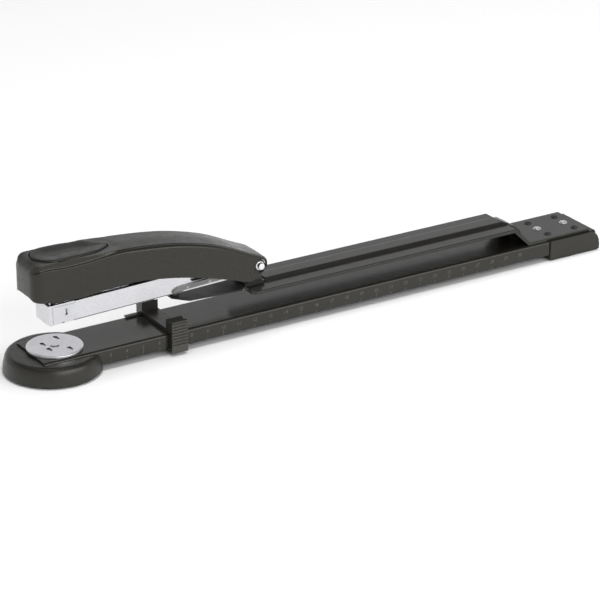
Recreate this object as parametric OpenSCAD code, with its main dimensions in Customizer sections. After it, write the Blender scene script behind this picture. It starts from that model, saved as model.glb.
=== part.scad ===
// Long-reach stapler: a folded base channel with a turning anvil plate and a sliding
// paper stop, an embossed spring-steel arm riveted to the rear of the base, and a
// magazine and handle that share one cross pin at the front of the arm.
// Millimetres. X runs from the front tip to the rear, Z is up, Y = 0 is the middle plane.
// The origin is on the table, in the middle of the footprint.

/* [Base] */
// outside width of the folded base channel
base_width = 33.5; // [32:0.5:35]
// height of the channel's top face above the table
base_top = 12.4; // [12:0.1:12.6]
// height of the channel's lower edges above the table
flange_low = 3.7; // [3.6:0.1:4.2]
// sheet thickness of the channel
base_wall = 1.5; // [1.2:0.1:1.6]
// outside radius of the round front foot
foot_radius = 27.4; // [26.6:0.2:28]
// width of the rear foot
rear_foot_width = 35.1; // [34.9:0.1:37]
// thickness of the soft pads under both feet
pad_height = 0.8; // [0.6:0.1:1]

/* [Anvil] */
// radius of the round anvil plate
anvil_radius = 15.5; // [14:0.5:16]
// thickness of the anvil plate
anvil_thick = 1.5; // [1.3:0.1:1.7]
// depth of the pockets that bend the staple legs
pocket_depth = 0.7; // [0.4:0.1:0.8]

/* [Paper stop] */
// length of the paper stop along the base
stop_length = 10; // [8:1:12]
// height of the grips' top edge above the table
grip_top = 20; // [18:0.5:20.5]
// outside width over the two ribbed grips
grip_width = 40.8; // [38:0.2:42]

/* [Arm] */
// sheet thickness of the arm
arm_thick = 1.9; // [1.6:0.1:2]
// width of the arm
arm_width = 31; // [30:0.5:33]
// height of the raised part's top face
shelf_top = 24.4; // [24.2:0.1:24.8]
// height of the embossed rib's crest
rib_top = 26.2; // [25.8:0.1:26.8]

/* [Magazine] */
// outside width of the magazine
mag_width = 15.6; // [15.4:0.1:15.6]
// slope of the magazine, rear end higher
mag_tilt = 1.54; // [1.4:0.02:1.7]
// length of the staple strip
strip_length = 50; // [30:1:52]

/* [Handle] */
// outside width of the handle
handle_width = 26; // [25.8:0.1:26.4]
// how much the handle's top bulges in the middle
crown_rise = 0.3; // [0.2:0.1:0.8]
// radius of the cross pin that carries magazine and handle
pin_radius = 2.5; // [2.3:0.1:2.5]

/* [Hidden] */
$fn = 48;
eps = 0.01;
fit = 0.05;         // running clearance round a pin
gap = 0.15;         // clearance of a sliding guide
big = 60;           // longer than any cut it makes

// stations along the length, measured from the front edge of the base channel
anvil_x = 14.42;
foot_x = 13.2;
foot_end = 34;
stop_x = 75.1;
arm_front = 129.5;
pin_x = 135.4;
pin_z = 38;
rear_foot_x = 331;
rear_end = 366.8;
base_end = 364.4;
mid_x = (foot_x - foot_radius + rear_end) / 2;

black = [0.16, 0.16, 0.15];
soft_black = [0.10, 0.10, 0.10];
nickel = [0.80, 0.80, 0.83];
zinc = [0.55, 0.54, 0.53];
steel = [0.66, 0.67, 0.69];

// ------------------------------------------------------------------ helpers
module from_front() translate([-mid_x, 0, 0]) children();
module on_pin() translate([pin_x, 0, pin_z]) rotate([0, -mag_tilt, 0]) children();
module slab(x0, x1, half, z0, z1)
    translate([x0, -half, z0]) cube([x1 - x0, 2 * half, z1 - z0]);
module outline(half)
    translate([0, half, 0]) rotate([90, 0, 0]) linear_extrude(2 * half) children();
module walls(y0, y1) {
    translate([0, y1, 0]) rotate([90, 0, 0]) linear_extrude(y1 - y0) children();
    translate([0, -y0, 0]) rotate([90, 0, 0]) linear_extrude(y1 - y0) children();
}
module section(x0, x1)
    translate([x0, 0, 0]) rotate([90, 0, 90]) linear_extrude(x1 - x0) children();
module cross(r, half) rotate([90, 0, 0]) cylinder(r = r, h = 2 * half, center = true);
module post(x, y, z0, z1, r) translate([x, y, z0]) cylinder(r = r, h = z1 - z0);

// ------------------------------------------------------------------ base
flange_half = base_width / 2;
bend = 1.6;
rivet_x = [333.6, 352.7];
rivet_r = 1.6;
screw_x = [334.1, 353.5];
screw_y = 9.8;
screw_r = 1.25;
pivot_r = 2.5;

module fold(half, low, top, r) {
    translate([-half, low]) square([2 * half, top - r - low]);
    translate([-half + r, low]) square([2 * half - 2 * r, top - low]);
    for (s = [-1, 1]) translate([s * (half - r), top - r]) circle(r);
}

module rear_holes(z0, z1) {
    for (x = rivet_x) post(x, 0, z0, z1, rivet_r);
    for (x = screw_x, s = [-1, 1]) post(x, s * screw_y, z0, z1, screw_r);
}

module base_channel() color(black) from_front() difference() {
    section(0, base_end) difference() {
        fold(flange_half, flange_low, base_top, bend);
        fold(flange_half - base_wall, flange_low - 1, base_top - base_wall, bend / 2);
    }
    post(anvil_x, 0, flange_low, base_top + 1, pivot_r + fit);
    rear_holes(flange_low, base_top + 1);
}

// section of the front foot: how far inside the radius, height
foot_side = [[0, 1.4], [0.4, 5], [1.2, 8.4], [1.9, 10], [3.1, 11], [4.6, 11.3]];
foot_pad_in = 1.8;
well_r = 7;
core_half = flange_half - base_wall - 3 * gap;
core_top = base_top - base_wall - 3 * gap;

module foot_disc(r, z0, z1) post(foot_x, 0, z0, z1, r);

module foot_core(x0, x1, top) slab(x0, x1, core_half, flange_low - gap - eps, top);

module front_foot() color(soft_black) from_front() {
    difference() {
        union() {
            intersection() {
                translate([foot_x, 0, 0]) rotate_extrude($fn = 96) polygon(concat(
                    [[0, pad_height], [foot_radius - foot_pad_in / 2, pad_height]],
                    [for (p = foot_side) [foot_radius - p[0], p[1]]],
                    [[0, foot_side[len(foot_side) - 1][1]]]));
                slab(-big, foot_end, big, 0, big);
            }
        }
        slab(-gap / 3, foot_end + 1, flange_half + gap / 3, flange_low - gap, big);
    }
    difference() {
        foot_core(base_wall, foot_end - 1, core_top);
        post(anvil_x, 0, flange_low, big, well_r);
    }
}

module front_foot_pad() color(soft_black) from_front() difference() {
    foot_disc(foot_radius - foot_pad_in, 0, pad_height);
    slab(foot_end, big, big, -1, big);
}

boot_half = rear_foot_width / 2;
boot_top = base_top - 0.1;
well_top = 9.2;

module rear_foot() color(soft_black) from_front() {
    difference() {
        outline(boot_half) polygon([[rear_foot_x, pad_height], [rear_end, pad_height],
            [rear_end, 4], [rear_end - 0.5, 7], [rear_end - 1.6, 9.6],
            [rear_end - 3.4, 11.4], [rear_end - 5.8, boot_top], [rear_foot_x, boot_top]]);
        slab(rear_foot_x - 1, base_end + gap, flange_half + gap / 3, flange_low - gap, big);
    }
    difference() {
        foot_core(rear_foot_x + 1, base_end - 1, well_top);
        for (x = rivet_x) post(x, 0, flange_low, big, 2 * rivet_r);
        for (x = screw_x, s = [-1, 1]) post(x, s * screw_y, flange_low, big, screw_r);
    }
}

module rear_foot_pad() color(soft_black) from_front()
    slab(rear_foot_x + 1, rear_end - 1, boot_half - 1, 0, pad_height);

// ------------------------------------------------------------------ anvil
crown_x = 9.3;
pocket_gap = fit * 2;
anvil_low = base_top + pocket_gap;
anvil_top = anvil_low + anvil_thick;
pocket_w = 1.1;
inner_pocket = [2.6, 5.3];
outer_pocket = [6.7, 9.5];
stem_low = 8.9;
cap_r = 3.2;
washer_r = 4.6;

module pocket(x, span) for (s = [-1, 1]) {
    for (y = span) post(x, s * y, anvil_top - pocket_depth, anvil_top + 1, pocket_w);
    translate([x - pocket_w, s > 0 ? span[0] : -span[1], anvil_top - pocket_depth])
        cube([2 * pocket_w, span[1] - span[0], 1 + pocket_depth]);
}

module anvil_plate() color(nickel) from_front() difference() {
    union() {
        post(anvil_x, 0, anvil_low, anvil_top - 0.4, anvil_radius, $fn = 96);
        translate([anvil_x, 0, anvil_top - 0.4])
            cylinder(r1 = anvil_radius, r2 = anvil_radius - 0.4, h = 0.4, $fn = 96);
    }
    pocket(crown_x, inner_pocket);
    pocket(2 * anvil_x - crown_x, outer_pocket);
    post(anvil_x, 0, 0, big, pivot_r);
}

module anvil_rivet() color(steel) from_front() {
    post(anvil_x, 0, stem_low, anvil_top, pivot_r);
    translate([anvil_x, 0, anvil_top]) cylinder(r1 = cap_r, r2 = cap_r - 0.8, h = 0.5);
    post(anvil_x, 0, stem_low, stem_low + 1, cap_r + 1);
}

module anvil_washer() color(steel) from_front() difference() {
    post(anvil_x, 0, stem_low + 1, base_top - base_wall - pocket_gap, washer_r);
    post(anvil_x, 0, 0, big, pivot_r + fit);
}

// ------------------------------------------------------------------ paper stop
grip_half = grip_width / 2;
grip_in = 13.4;
bar_top = 14.8;
clip_low = 1.8;
skirt_in = flange_half + gap;
hook_in = flange_half - base_wall + gap;
ridge_pitch = 1.75;
ridge_cut = 0.8;
ridge_deep = 0.5;
pointer = [65.5, 13.6, 16.6, 1];

module side_block(y0, y1, z0, z1)
    for (s = [0, 1]) mirror([0, s, 0]) translate([stop_x, y0, z0])
        cube([stop_length, y1 - y0, z1 - z0]);

module paper_stop() color(soft_black) from_front() {
    difference() {
        union() {
            slab(stop_x, stop_x + stop_length, grip_half - 1, base_top + gap, bar_top);
            side_block(grip_in, grip_half, base_top + gap, grip_top);
            side_block(skirt_in, grip_half, clip_low, base_top + 1);
            side_block(hook_in, grip_half, clip_low, flange_low - gap);
        }
        for (i = [0 : 7], s = [-1, 1])
            translate([stop_x - 1, s * grip_half - ridge_deep,
                grip_top - 1.4 - i * ridge_pitch])
                cube([stop_length + 2, 2 * ridge_deep, ridge_cut]);
        for (s = [0, 1]) mirror([0, s, 0])
            translate([stop_x - 1, grip_in, grip_top]) rotate([-30, 0, 0])
                translate([0, -4, 0]) cube([stop_length + 2, 8, 4]);
    }
    translate([pointer[0], pointer[1], base_top + gap])
        cube([stop_x - pointer[0] + 1, pointer[2] - pointer[1], pointer[3]]);
}

// ------------------------------------------------------------------ arm
arm_half = arm_width / 2;
plate_low = base_top;
plate_top = base_top + arm_thick;
ramp_top_x = 307;
ramp_low_x = 317.4;
arm_rear = 360.4;
shelf_low = shelf_top - arm_thick;
rib_front = 142;
rib_rear = 318.4;
rib_foot = 6.4;
rib_crest = 4.75;
rib_ease = 0.2;
rib_corner = 3.2;
skin = 1.7;
floor_rivet = [132.4, 138.9];
floor_rivet_y = 3;
floor_rivet_r = 1.5;

module arm_side() polygon([[arm_front, shelf_low], [ramp_top_x - 0.9, shelf_low],
    [ramp_low_x - 0.9, plate_low], [arm_rear, plate_low], [arm_rear, plate_top],
    [ramp_low_x, plate_top], [ramp_top_x, shelf_top], [arm_front, shelf_top]]);

module rib(t) intersection() {
    half = rib_foot - t;
    front = rib_front + t;
    section(rib_front - 1, rib_rear + 1) polygon([
        [-half, plate_low - 1], [-half, shelf_top - rib_ease * t],
        [-rib_crest + rib_ease * t, rib_top - t], [rib_crest - rib_ease * t, rib_top - t],
        [half, shelf_top - rib_ease * t], [half, plate_low - 1]]);
    outline(rib_foot + 1) polygon([[front, plate_low - 1], [front, shelf_top + 0.1 - t],
        [front + 1.7, rib_top + 0.1 - t], [front + 5, rib_top + 1], [302, rib_top + 1],
        [303.5 - t, rib_top - t], [307.5 - t, 25.4 - t], [312.5 - t, 22.6 - t],
        [316 - t, 19.2 - t], [rib_rear - t, plate_top - t], [rib_rear - t, plate_low - 1]]);
    linear_extrude(big) for (s = [0, 1]) mirror([0, s, 0]) polygon([[front - 0.1, -0.1],
        [front - 0.1, half - rib_corner], [front + 0.9, half - 0.9],
        [front + rib_corner, half], [front + 2 * rib_corner, half + 0.8],
        [rear_end, half + 0.8], [rear_end, -0.1]]);
}

module arm_plate() color(black) from_front() difference() {
    union() {
        outline(arm_half) arm_side();
        intersection() {
            rib(0);
            outline(rib_foot + 2) polygon([[0, shelf_top - 1],
                [ramp_top_x - 1, shelf_top - 1], [ramp_low_x - 1, plate_top - 1],
                [rear_end, plate_top - 1], [rear_end, big], [0, big]]);
        }
    }
    rib(skin);
    rear_holes(0, big);
    for (x = floor_rivet, s = [-1, 1]) post(x, s * floor_rivet_y, 0, big, floor_rivet_r);
    for (s = [0, 1]) mirror([0, s, 0]) translate([arm_front, arm_half, 0])
        rotate([0, 0, 45]) cube([3, 3, big], center = true);
}

module arm_rivets() color(nickel) from_front() for (x = rivet_x) {
    post(x, 0, base_top - base_wall, plate_top, rivet_r);
    translate([x, 0, plate_top]) cylinder(r1 = 2.6, r2 = 1.7, h = 0.8);
    post(x, 0, well_top + 0.6, base_top - base_wall, 2.4);
}

module arm_screws() color(soft_black) from_front()
    for (x = screw_x, s = [-1, 1]) translate([x, s * screw_y, 0]) {
        post(0, 0, flange_low + 2, plate_top, screw_r);
        difference() {
            translate([0, 0, plate_top]) cylinder(r1 = 2.3, r2 = 1.9, h = 0.5);
            for (a = [0, 90]) rotate([0, 0, a])
                translate([-1.4, -0.25, plate_top + 0.2]) cube([2.8, 0.5, 1]);
        }
    }

// ------------------------------------------------------------------ hinge on the arm
leaf_low = shelf_top + 0.02;
leaf_thick = 0.9;
floor_low = leaf_low + leaf_thick + 0.02;
floor_top = floor_low + 1.2;
floor_x = [129, 141.4];
ear_in = 6.3;
ear_out = 7.3;
ear_r = 3.5;
ear_foot = 4.3;
leaf_nose_x = 84.5;
leaf_tail = 6.9;
leaf_rise = 1.8;

module pin_hole(r) translate([pin_x, 0, pin_z]) cross(r, big);

module hinge_bracket() color(black) from_front() difference() {
    union() {
        slab(floor_x[0], floor_x[1], ear_out, floor_low, floor_top);
        walls(ear_in, ear_out) polygon([[pin_x - ear_foot, floor_low],
            [pin_x + ear_foot, floor_low], [pin_x + ear_r, pin_z], [pin_x - ear_r, pin_z]]);
        for (s = [-1, 1]) translate([pin_x, s * (ear_in + ear_out) / 2, pin_z])
            cross(ear_r, (ear_out - ear_in) / 2);
    }
    pin_hole(pin_radius);
    for (x = floor_rivet, s = [-1, 1]) post(x, s * floor_rivet_y, 0, big, floor_rivet_r);
}

module bracket_rivets() color(black) from_front()
    for (x = floor_rivet, s = [-1, 1]) translate([x, s * floor_rivet_y, 0]) {
        post(0, 0, shelf_low, floor_top, floor_rivet_r);
        translate([0, 0, floor_top]) cylinder(r1 = 2.4, r2 = 1.5, h = 0.7);
        translate([0, 0, shelf_low - 0.7]) cylinder(r1 = 1.5, r2 = 2.4, h = 0.7);
    }

pin_half = 14.7;
clip_in = 11.5;
clip_out = 12.3;

module hinge_pin() color(nickel) from_front() translate([pin_x, 0, pin_z]) {
    cross(pin_radius, pin_half - 0.5);
    for (s = [0, 1]) mirror([0, s, 0]) translate([0, pin_half - 0.5, 0])
        rotate([-90, 0, 0]) cylinder(r1 = pin_radius, r2 = pin_radius - 0.5, h = 0.5);
}

module pin_clips() color(black) from_front() difference() {
    for (s = [-1, 1]) translate([pin_x, s * (clip_in + clip_out) / 2, pin_z])
        cross(pin_radius + 0.8, (clip_out - clip_in) / 2);
    pin_hole(pin_radius);
}

module lift_spring() color(black) from_front() difference() {
    intersection() {
        outline(big) polygon([[leaf_nose_x, leaf_low + leaf_rise],
            [arm_front - 3, leaf_low], [floor_x[1], leaf_low],
            [floor_x[1], leaf_low + leaf_thick], [arm_front - 3, leaf_low + leaf_thick],
            [leaf_nose_x, leaf_low + leaf_thick + leaf_rise]]);
        linear_extrude(big) polygon([[leaf_nose_x, -3.5], [92, -10.8], [124.6, -10.8],
            [127.6, -leaf_tail], [floor_x[1], -leaf_tail], [floor_x[1], leaf_tail],
            [127.6, leaf_tail],
            [124.6, 10.8], [92, 10.8], [leaf_nose_x, 3.5]]);
    }
    for (x = floor_rivet, s = [-1, 1]) post(x, s * floor_rivet_y, 0, big, floor_rivet_r);
}

// ------------------------------------------------------------------ magazine
// measured along the sloping magazine: u from the pin (front is negative), w up from the pin
mag_half = mag_width / 2;
mag_wall = 1.1;
mag_in = mag_half - mag_wall;
mag_front = -127.6;
mag_low = -5.62;
mag_floor = mag_low + 1;
mag_high = 5.3;
mag_waist = -1.15;
mag_step = -41.5;
mag_rear = -10.2;
notch_r = 2;
head_rear = -112;
head_high = mag_high + 0.4;
front_wall = 0.8;
slot_rear = -125.1;
side_slot = [-118, -116.4, -1.5, 2.2];

carrier_rivet_u = [-44, -30];
carrier_rivet_w = -3.2;
carrier_rivet_r = 0.9;
module rivet_bores() for (u = carrier_rivet_u) translate([u, 0, carrier_rivet_w])
    cross(carrier_rivet_r, big);

module magazine_channel() color(nickel) from_front() on_pin() difference() {
    outline(mag_half) {
        translate([slot_rear, mag_low]) square([mag_rear - slot_rear, mag_waist - mag_low]);
        difference() {
            translate([head_rear, mag_low])
                square([mag_step + notch_r - head_rear, mag_high - mag_low]);
            translate([mag_step + notch_r, mag_waist + notch_r]) circle(notch_r);
            translate([mag_step, mag_waist + notch_r]) square([big, big]);
        }
        translate([slot_rear, mag_low])
            square([head_rear - slot_rear + eps, mag_high - 1 - mag_low]);
    }
    slab(slot_rear - 1, 1, mag_in, mag_floor, big);
    for (s = [0, 1]) mirror([0, s, 0])
        translate([side_slot[0], mag_in - 1, side_slot[2]])
            cube([side_slot[1] - side_slot[0], 3, side_slot[3] - side_slot[2]]);
    rivet_bores();
}

module magazine_head() color(nickel) from_front() on_pin() {
    slab(mag_front, mag_front + front_wall, mag_half, mag_low, head_high);
    walls(mag_in, mag_half) translate([mag_front, mag_low])
        square([slot_rear - gap / 3 - mag_front, head_high - mag_low]);
    walls(mag_in, mag_half) translate([mag_front, mag_high - 1 + eps])
        square([head_rear - eps - mag_front, head_high - mag_high + 1 - eps]);
}

carrier_in = mag_half + 0.1;
carrier_out = carrier_in + 1;
carrier_r = 3.7;
web = [-9.6, -8.4];
web_top = 4.2;

module magazine_carrier() color(zinc) from_front() on_pin() {
    difference() {
        walls(carrier_in, carrier_out) {
            polygon([[-53.2, -4.6], [-51.6, -2.9], [-49.4, -2.2], [-42, -1.8], [-31, -1.5],
                [-24, 4.2], [0, carrier_r], [0, -carrier_r]]);
            circle(carrier_r);
        }
        cross(pin_radius + fit, big);
        rivet_bores();
    }
    slab(web[0], web[1], carrier_in + eps, mag_low + 1, web_top);
}

module carrier_rivets() color(steel) from_front() on_pin()
    for (u = carrier_rivet_u, s = [0, 1]) mirror([0, s, 0])
        translate([u, mag_in, carrier_rivet_w]) rotate([-90, 0, 0])
            cylinder(r = carrier_rivet_r, h = carrier_out - mag_in + 0.15);

pad_u = [-49.6, -46];
pad_drop = 3.95;

module lift_pad() color(soft_black) from_front() on_pin()
    slab(pad_u[0], pad_u[1], 3, mag_low - pad_drop, mag_low - eps);

rail_half = 5.3;
rail_high = 0.9;
strip_front = -125.05;
wire = 0.5;
crown_half = 6.35;
strip_rear = strip_front + strip_length;

module staple_rail() color(steel) from_front() on_pin() difference() {
    slab(strip_front, web[0] - 0.6, rail_half, mag_floor + eps, rail_high);
    slab(strip_front - 1, web[0], rail_half - 1, mag_floor + 1.2, rail_high - 0.8);
}

module staple_strip() color(nickel) from_front() on_pin() difference() {
    slab(strip_front, strip_rear, crown_half, mag_floor + gap, rail_high + 0.05 + wire);
    slab(strip_front - 1, strip_rear + 1, crown_half - wire - 0.3, mag_floor,
        rail_high + 0.05);
}

follower_len = 13;
follower_u = strip_rear + fit;
rod_w = 2.9;
rod_r = 0.9;

module follower() color(soft_black) from_front() on_pin() difference() {
    union() {
        slab(follower_u, follower_u + follower_len, crown_half, mag_floor + gap, 4.6);
        slab(follower_u + 3, follower_u + follower_len - 3, 4.5, 4.6 - eps, 5.2);
    }
    slab(follower_u - 1, follower_u + follower_len + 1, rail_half + gap, mag_floor - 1,
        rail_high + gap);
    translate([follower_u - 1, 0, rod_w]) rotate([0, 90, 0])
        cylinder(r = rod_r + fit, h = follower_len + 2);
}

module spring_rod() color(steel) from_front() on_pin() {
    translate([strip_front + 4, 0, rod_w]) rotate([0, 90, 0])
        cylinder(r = rod_r, h = web[0] - strip_front - 4 - eps);
    slab(strip_front + 3, strip_front + 4.2, mag_in - gap, rail_high + 0.8, 4.2);
}

// a round wire wound into a coil along X
turn_steps = 12;
wire_sides = 6;
function coil_ring(i, r, t, pitch) =
    let (a = i * 360 / turn_steps)
    [for (k = [0 : wire_sides - 1]) let (b = k * 360 / wire_sides, q = r + t * cos(b))
        [i * pitch / turn_steps + t * sin(b), q * cos(a), q * sin(a)]];
module coil(r, t, length, turns) {
    steps = turns * turn_steps;
    pts = [for (i = [0 : steps]) each coil_ring(i, r, t, length / turns)];
    polyhedron(pts, concat(
        [[for (k = [0 : wire_sides - 1]) k]],
        [[for (k = [0 : wire_sides - 1]) steps * wire_sides + wire_sides - 1 - k]],
        [for (i = [0 : steps - 1], k = [0 : wire_sides - 1])
            let (a = i * wire_sides, n = (k + 1) % wire_sides)
            [a + n, a + k, a + wire_sides + k, a + wire_sides + n]]), convexity = 8);
}

coil_r = 1.7;
coil_wire = 0.3;
spring_front = follower_u + follower_len + coil_wire + fit;
spring_rear = web[0] - coil_wire - fit;

module follower_spring() color(steel) from_front() on_pin()
    translate([spring_front, 0, rod_w])
        coil(coil_r, coil_wire, spring_rear - spring_front, 18);

// ------------------------------------------------------------------ handle
handle_half = handle_width / 2;
shell = 1.5;
lip = 1.7;
shell_in = handle_half - lip;
nose_round = 6;
cover_front = -2.4;
pin_window = 3.9;
// side outline of the handle: station, lower edge, upper edge of the sides, rise to the top
profile = [[-2.4, 46.2, 60.6, 1.2], [-1.6, 45.7, 61.6, 2.4], [0, 45.4, 62.6, 3.1],
    [3, 45, 63.2, 3.6], [8, 44.5, 63.2, 4], [16, 43.9, 62.7, 4.6], [25, 43.5, 62.7, 4.4],
    [31, 43.9, 63, 3.7], [37, 44.4, 63.5, 2.7], [43, 44.9, 64, 1.6], [49, 45.2, 64.4, 0.8],
    [55, 45.3, 64.4, 0.5], [61, 45.2, 64, 0.45], [73, 43.8, 62.8, 0.45],
    [85, 41.8, 61.1, 0.45], [97.3, 39, 58.4, 0.45], [109.8, 35.6, 54.7, 0.45],
    [119, 32.7, 51.1, 0.45], [128, 29.9, 47.1, 0.45], [133, 30.8, 45, 0.45],
    [136.5, 33.3, 44.1, 0.45], [139.9, 37.6, 43.3, 0.45]];
function half_at(x) = x < cover_front + nose_round ?
    handle_half - nose_round + sqrt(pow(nose_round, 2)
        - pow(cover_front + nose_round - x, 2)) : handle_half;
// upper corner of the section: how far in from the side, share of the rise
corner = [[0.3, 0], [0.9, 0.8], [1.7, 1]];
corner_drop = 0.1;
inner_rise = 0.6;
function arch(low, high, half, rise, inset) =
    let (inner = inset == shell, h = half - (inner ? lip : inset), z = high - inset,
        r = inner ? rise * inner_rise : rise,
        left = concat([[-h, low], [-h, z - 1]],
            [for (c = corner) [-h + c[0], z - corner_drop + r * c[1]]],
            [[-h / 2, z + r + crown_rise / 2]]))
    concat(left, [[0, z + r + crown_rise]],
        [for (k = [len(left) - 1 : -1 : 0]) [-left[k][0], left[k][1]]]);
module loft(inset, drop) {
    rings = [for (p = profile) [for (q = arch(p[1] - drop, p[2], half_at(p[0]), p[3],
        inset)) [p[0], q[0], q[1]]]];
    count = len(rings[0]);
    last = len(profile) - 1;
    polyhedron([for (r = rings) each r], concat(
        [[for (k = [0 : count - 1]) count - 1 - k]],
        [[for (k = [0 : count - 1]) last * count + k]],
        [for (i = [0 : last - 1], k = [0 : count - 1]) let (n = (k + 1) % count,
            a = i * count) each [[a + k, a + n, a + count + n],
            [a + k, a + count + n, a + count + k]]]), convexity = 8);
}

// outline of the thumb pad as circles: station, radius
pad_circles = [[13.6, 10.9], [24, 10.7], [34, 9.5], [43, 4.5]];
pad_groove = 0.35;
pad_sunk = 0.4;
pad_thick = 0.9;
module pad_plan(grow) linear_extrude(big * 2) hull() {
    for (c = pad_circles) translate([c[0], 0]) circle(c[1] + grow);
}

boss_x = [34, 54];
boss_r = 2.8;
cover_screw_r = 1.2;

module handle_cover() color(black) from_front() difference() {
    union() {
        difference() {
            loft(0, 0);
            intersection() {
                loft(shell, 5);
                slab(cover_front + lip, big * 3, big, 0, big * 2);
            }
        }
        intersection() {
            loft(0.5, 0);
            for (x = boss_x) post(x, 0, web_at(x) + gap, big * 2, boss_r);
        }
    }
    difference() {
        pad_plan(pad_groove);
        loft(pad_sunk + pad_thick + fit, 0);
    }
    translate([pin_x, 0, pin_z]) difference() {
        cross(pin_window, big);
        cross(pin_window + 1, shell_in - 1);
    }
    for (x = boss_x) post(x, 0, 0, web_at(x) + 5, cover_screw_r);
}

module thumb_pad() color(soft_black) from_front() intersection() {
    difference() {
        loft(pad_sunk, 0);
        loft(pad_sunk + pad_thick, 0);
    }
    translate([0, 0, 50]) pad_plan(0);
}

// the steel frame under the cover: a strip that follows the crown and two cheeks at the pin
frame_t = 1.2;
cheek_in = 10.5;
cheek_out = 11.2;
cheek_r = 3.6;
strip_line = [[6, 56], [60, 57.2], [84, 55], [98, 51.4], [112, 47.2], [124, 43.4]];
function web_at(x) = lookup(x, strip_line) + frame_t + fit;
strip_half = 8.6;

module strip_side() polygon(concat(strip_line,
    [for (i = [len(strip_line) - 1 : -1 : 0]) strip_line[i] + [0, frame_t]]));

module handle_frame() color(zinc) from_front() difference() {
    union() {
        outline(strip_half) strip_side();
        intersection() {
            outline(cheek_out) strip_side();
            slab(96, 130, big, 0, big);
        }
        walls(cheek_in, cheek_out) {
            polygon([[96, 52 + frame_t], [98, 51.4 + frame_t], [112, 47.2 + frame_t],
                [124, 43.4 + frame_t], [pin_x + 1, pin_z + cheek_r],
                [pin_x + cheek_r, pin_z], [pin_x, pin_z - cheek_r], [122, 37.5],
                [108, 44]]);
            translate([pin_x, pin_z]) circle(cheek_r);
        }
    }
    pin_hole(pin_radius + fit);
    for (x = boss_x) post(x, 0, 0, big * 2, cover_screw_r);
    for (x = driver_rivet_x) post(x, 0, 0, big * 2, driver_rivet_r);
}

module cover_screws() color(steel) from_front() for (x = boss_x) {
    post(x, 0, web_at(x) - frame_t - 1.2, web_at(x) + 5, cover_screw_r);
    post(x, 0, web_at(x) - frame_t - 1.9, web_at(x) - frame_t - 0.9, 2.2);
}

driver_rivet_x = [15, 21];
driver_rivet_r = 1.1;
blade_u = [-126.1, -125.5];
blade_w = 1.9;
blade_half = 6.2;
blade_seat = 55.9;

module driver_blade() color(nickel) from_front() {
    difference() {
        slab(pin_x + blade_u[0] - 0.7, 25, blade_half + 0.3, blade_seat - 1, blade_seat);
        for (x = driver_rivet_x) post(x, 0, 0, big * 2, driver_rivet_r);
    }
    intersection() {
        on_pin() slab(blade_u[0], blade_u[1], blade_half, blade_w, big);
        slab(0, 25, big, 0, blade_seat - 0.5);
    }
}

module driver_rivets() color(steel) from_front() for (x = driver_rivet_x) {
    post(x, 0, blade_seat - 1.8, web_at(x) + 0.6, driver_rivet_r);
    post(x, 0, blade_seat - 1.9, blade_seat - 1, 1.8);
    post(x, 0, web_at(x), web_at(x) + 0.6, 1.8);
}

// torsion spring round the pin, between the two walls of the magazine carrier
torsion_r = 3.55;
torsion_wire = 0.55;
torsion_half = 5.5;

module return_spring() color(steel) from_front() {
    translate([pin_x, 0, pin_z]) rotate([0, 0, 90])
        translate([-torsion_half, 0, 0]) coil(torsion_r, torsion_wire, 2 * torsion_half, 6);
}

base_channel();
front_foot();
front_foot_pad();
rear_foot();
rear_foot_pad();
arm_plate();
arm_rivets();
arm_screws();
hinge_bracket();
bracket_rivets();
hinge_pin();
pin_clips();
lift_spring();
anvil_plate();
anvil_rivet();
anvil_washer();
paper_stop();
magazine_channel();
magazine_head();
magazine_carrier();
carrier_rivets();
lift_pad();
staple_rail();
staple_strip();
follower();
follower_spring();
spring_rod();
handle_cover();
thumb_pad();
handle_frame();
driver_blade();
driver_rivets();
cover_screws();
return_spring();
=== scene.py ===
"""Looks of the long-reach stapler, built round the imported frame. Metres, row frame."""
import math
import bmesh
import bpy
from mathutils import Matrix, Vector


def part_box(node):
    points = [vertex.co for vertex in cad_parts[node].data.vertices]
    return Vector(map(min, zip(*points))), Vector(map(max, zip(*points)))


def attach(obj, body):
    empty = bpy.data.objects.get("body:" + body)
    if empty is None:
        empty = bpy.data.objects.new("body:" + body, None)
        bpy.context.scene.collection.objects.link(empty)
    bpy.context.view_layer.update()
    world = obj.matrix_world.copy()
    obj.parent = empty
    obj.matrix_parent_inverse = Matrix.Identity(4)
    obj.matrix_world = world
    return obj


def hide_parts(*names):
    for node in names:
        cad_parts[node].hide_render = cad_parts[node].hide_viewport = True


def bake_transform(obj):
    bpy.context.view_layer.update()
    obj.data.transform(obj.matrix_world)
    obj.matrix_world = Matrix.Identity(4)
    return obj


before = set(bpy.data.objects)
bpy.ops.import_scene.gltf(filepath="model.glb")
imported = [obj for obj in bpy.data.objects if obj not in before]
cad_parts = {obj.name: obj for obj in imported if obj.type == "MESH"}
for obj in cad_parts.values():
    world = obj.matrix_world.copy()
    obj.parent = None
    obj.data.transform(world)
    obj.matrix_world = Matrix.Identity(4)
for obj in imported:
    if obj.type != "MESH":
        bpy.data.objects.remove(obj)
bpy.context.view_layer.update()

MM = 0.001
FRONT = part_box("base_channel")[0].x       # front edge of the base channel
PIN = (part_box("hinge_pin")[0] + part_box("hinge_pin")[1]) / 2
TILT = math.radians(1.54)                 # slope of the magazine


def at(x, y, z):
    """A point given in mm from the front edge of the base channel."""
    return Vector((FRONT + x * MM, y * MM, z * MM))


def along_mag(u, y, w):
    """A point given in mm along the magazine, from the pin."""
    c, s = math.cos(TILT), math.sin(TILT)
    return PIN + Vector((u * c - w * s, y, u * s + w * c)) * MM


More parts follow.
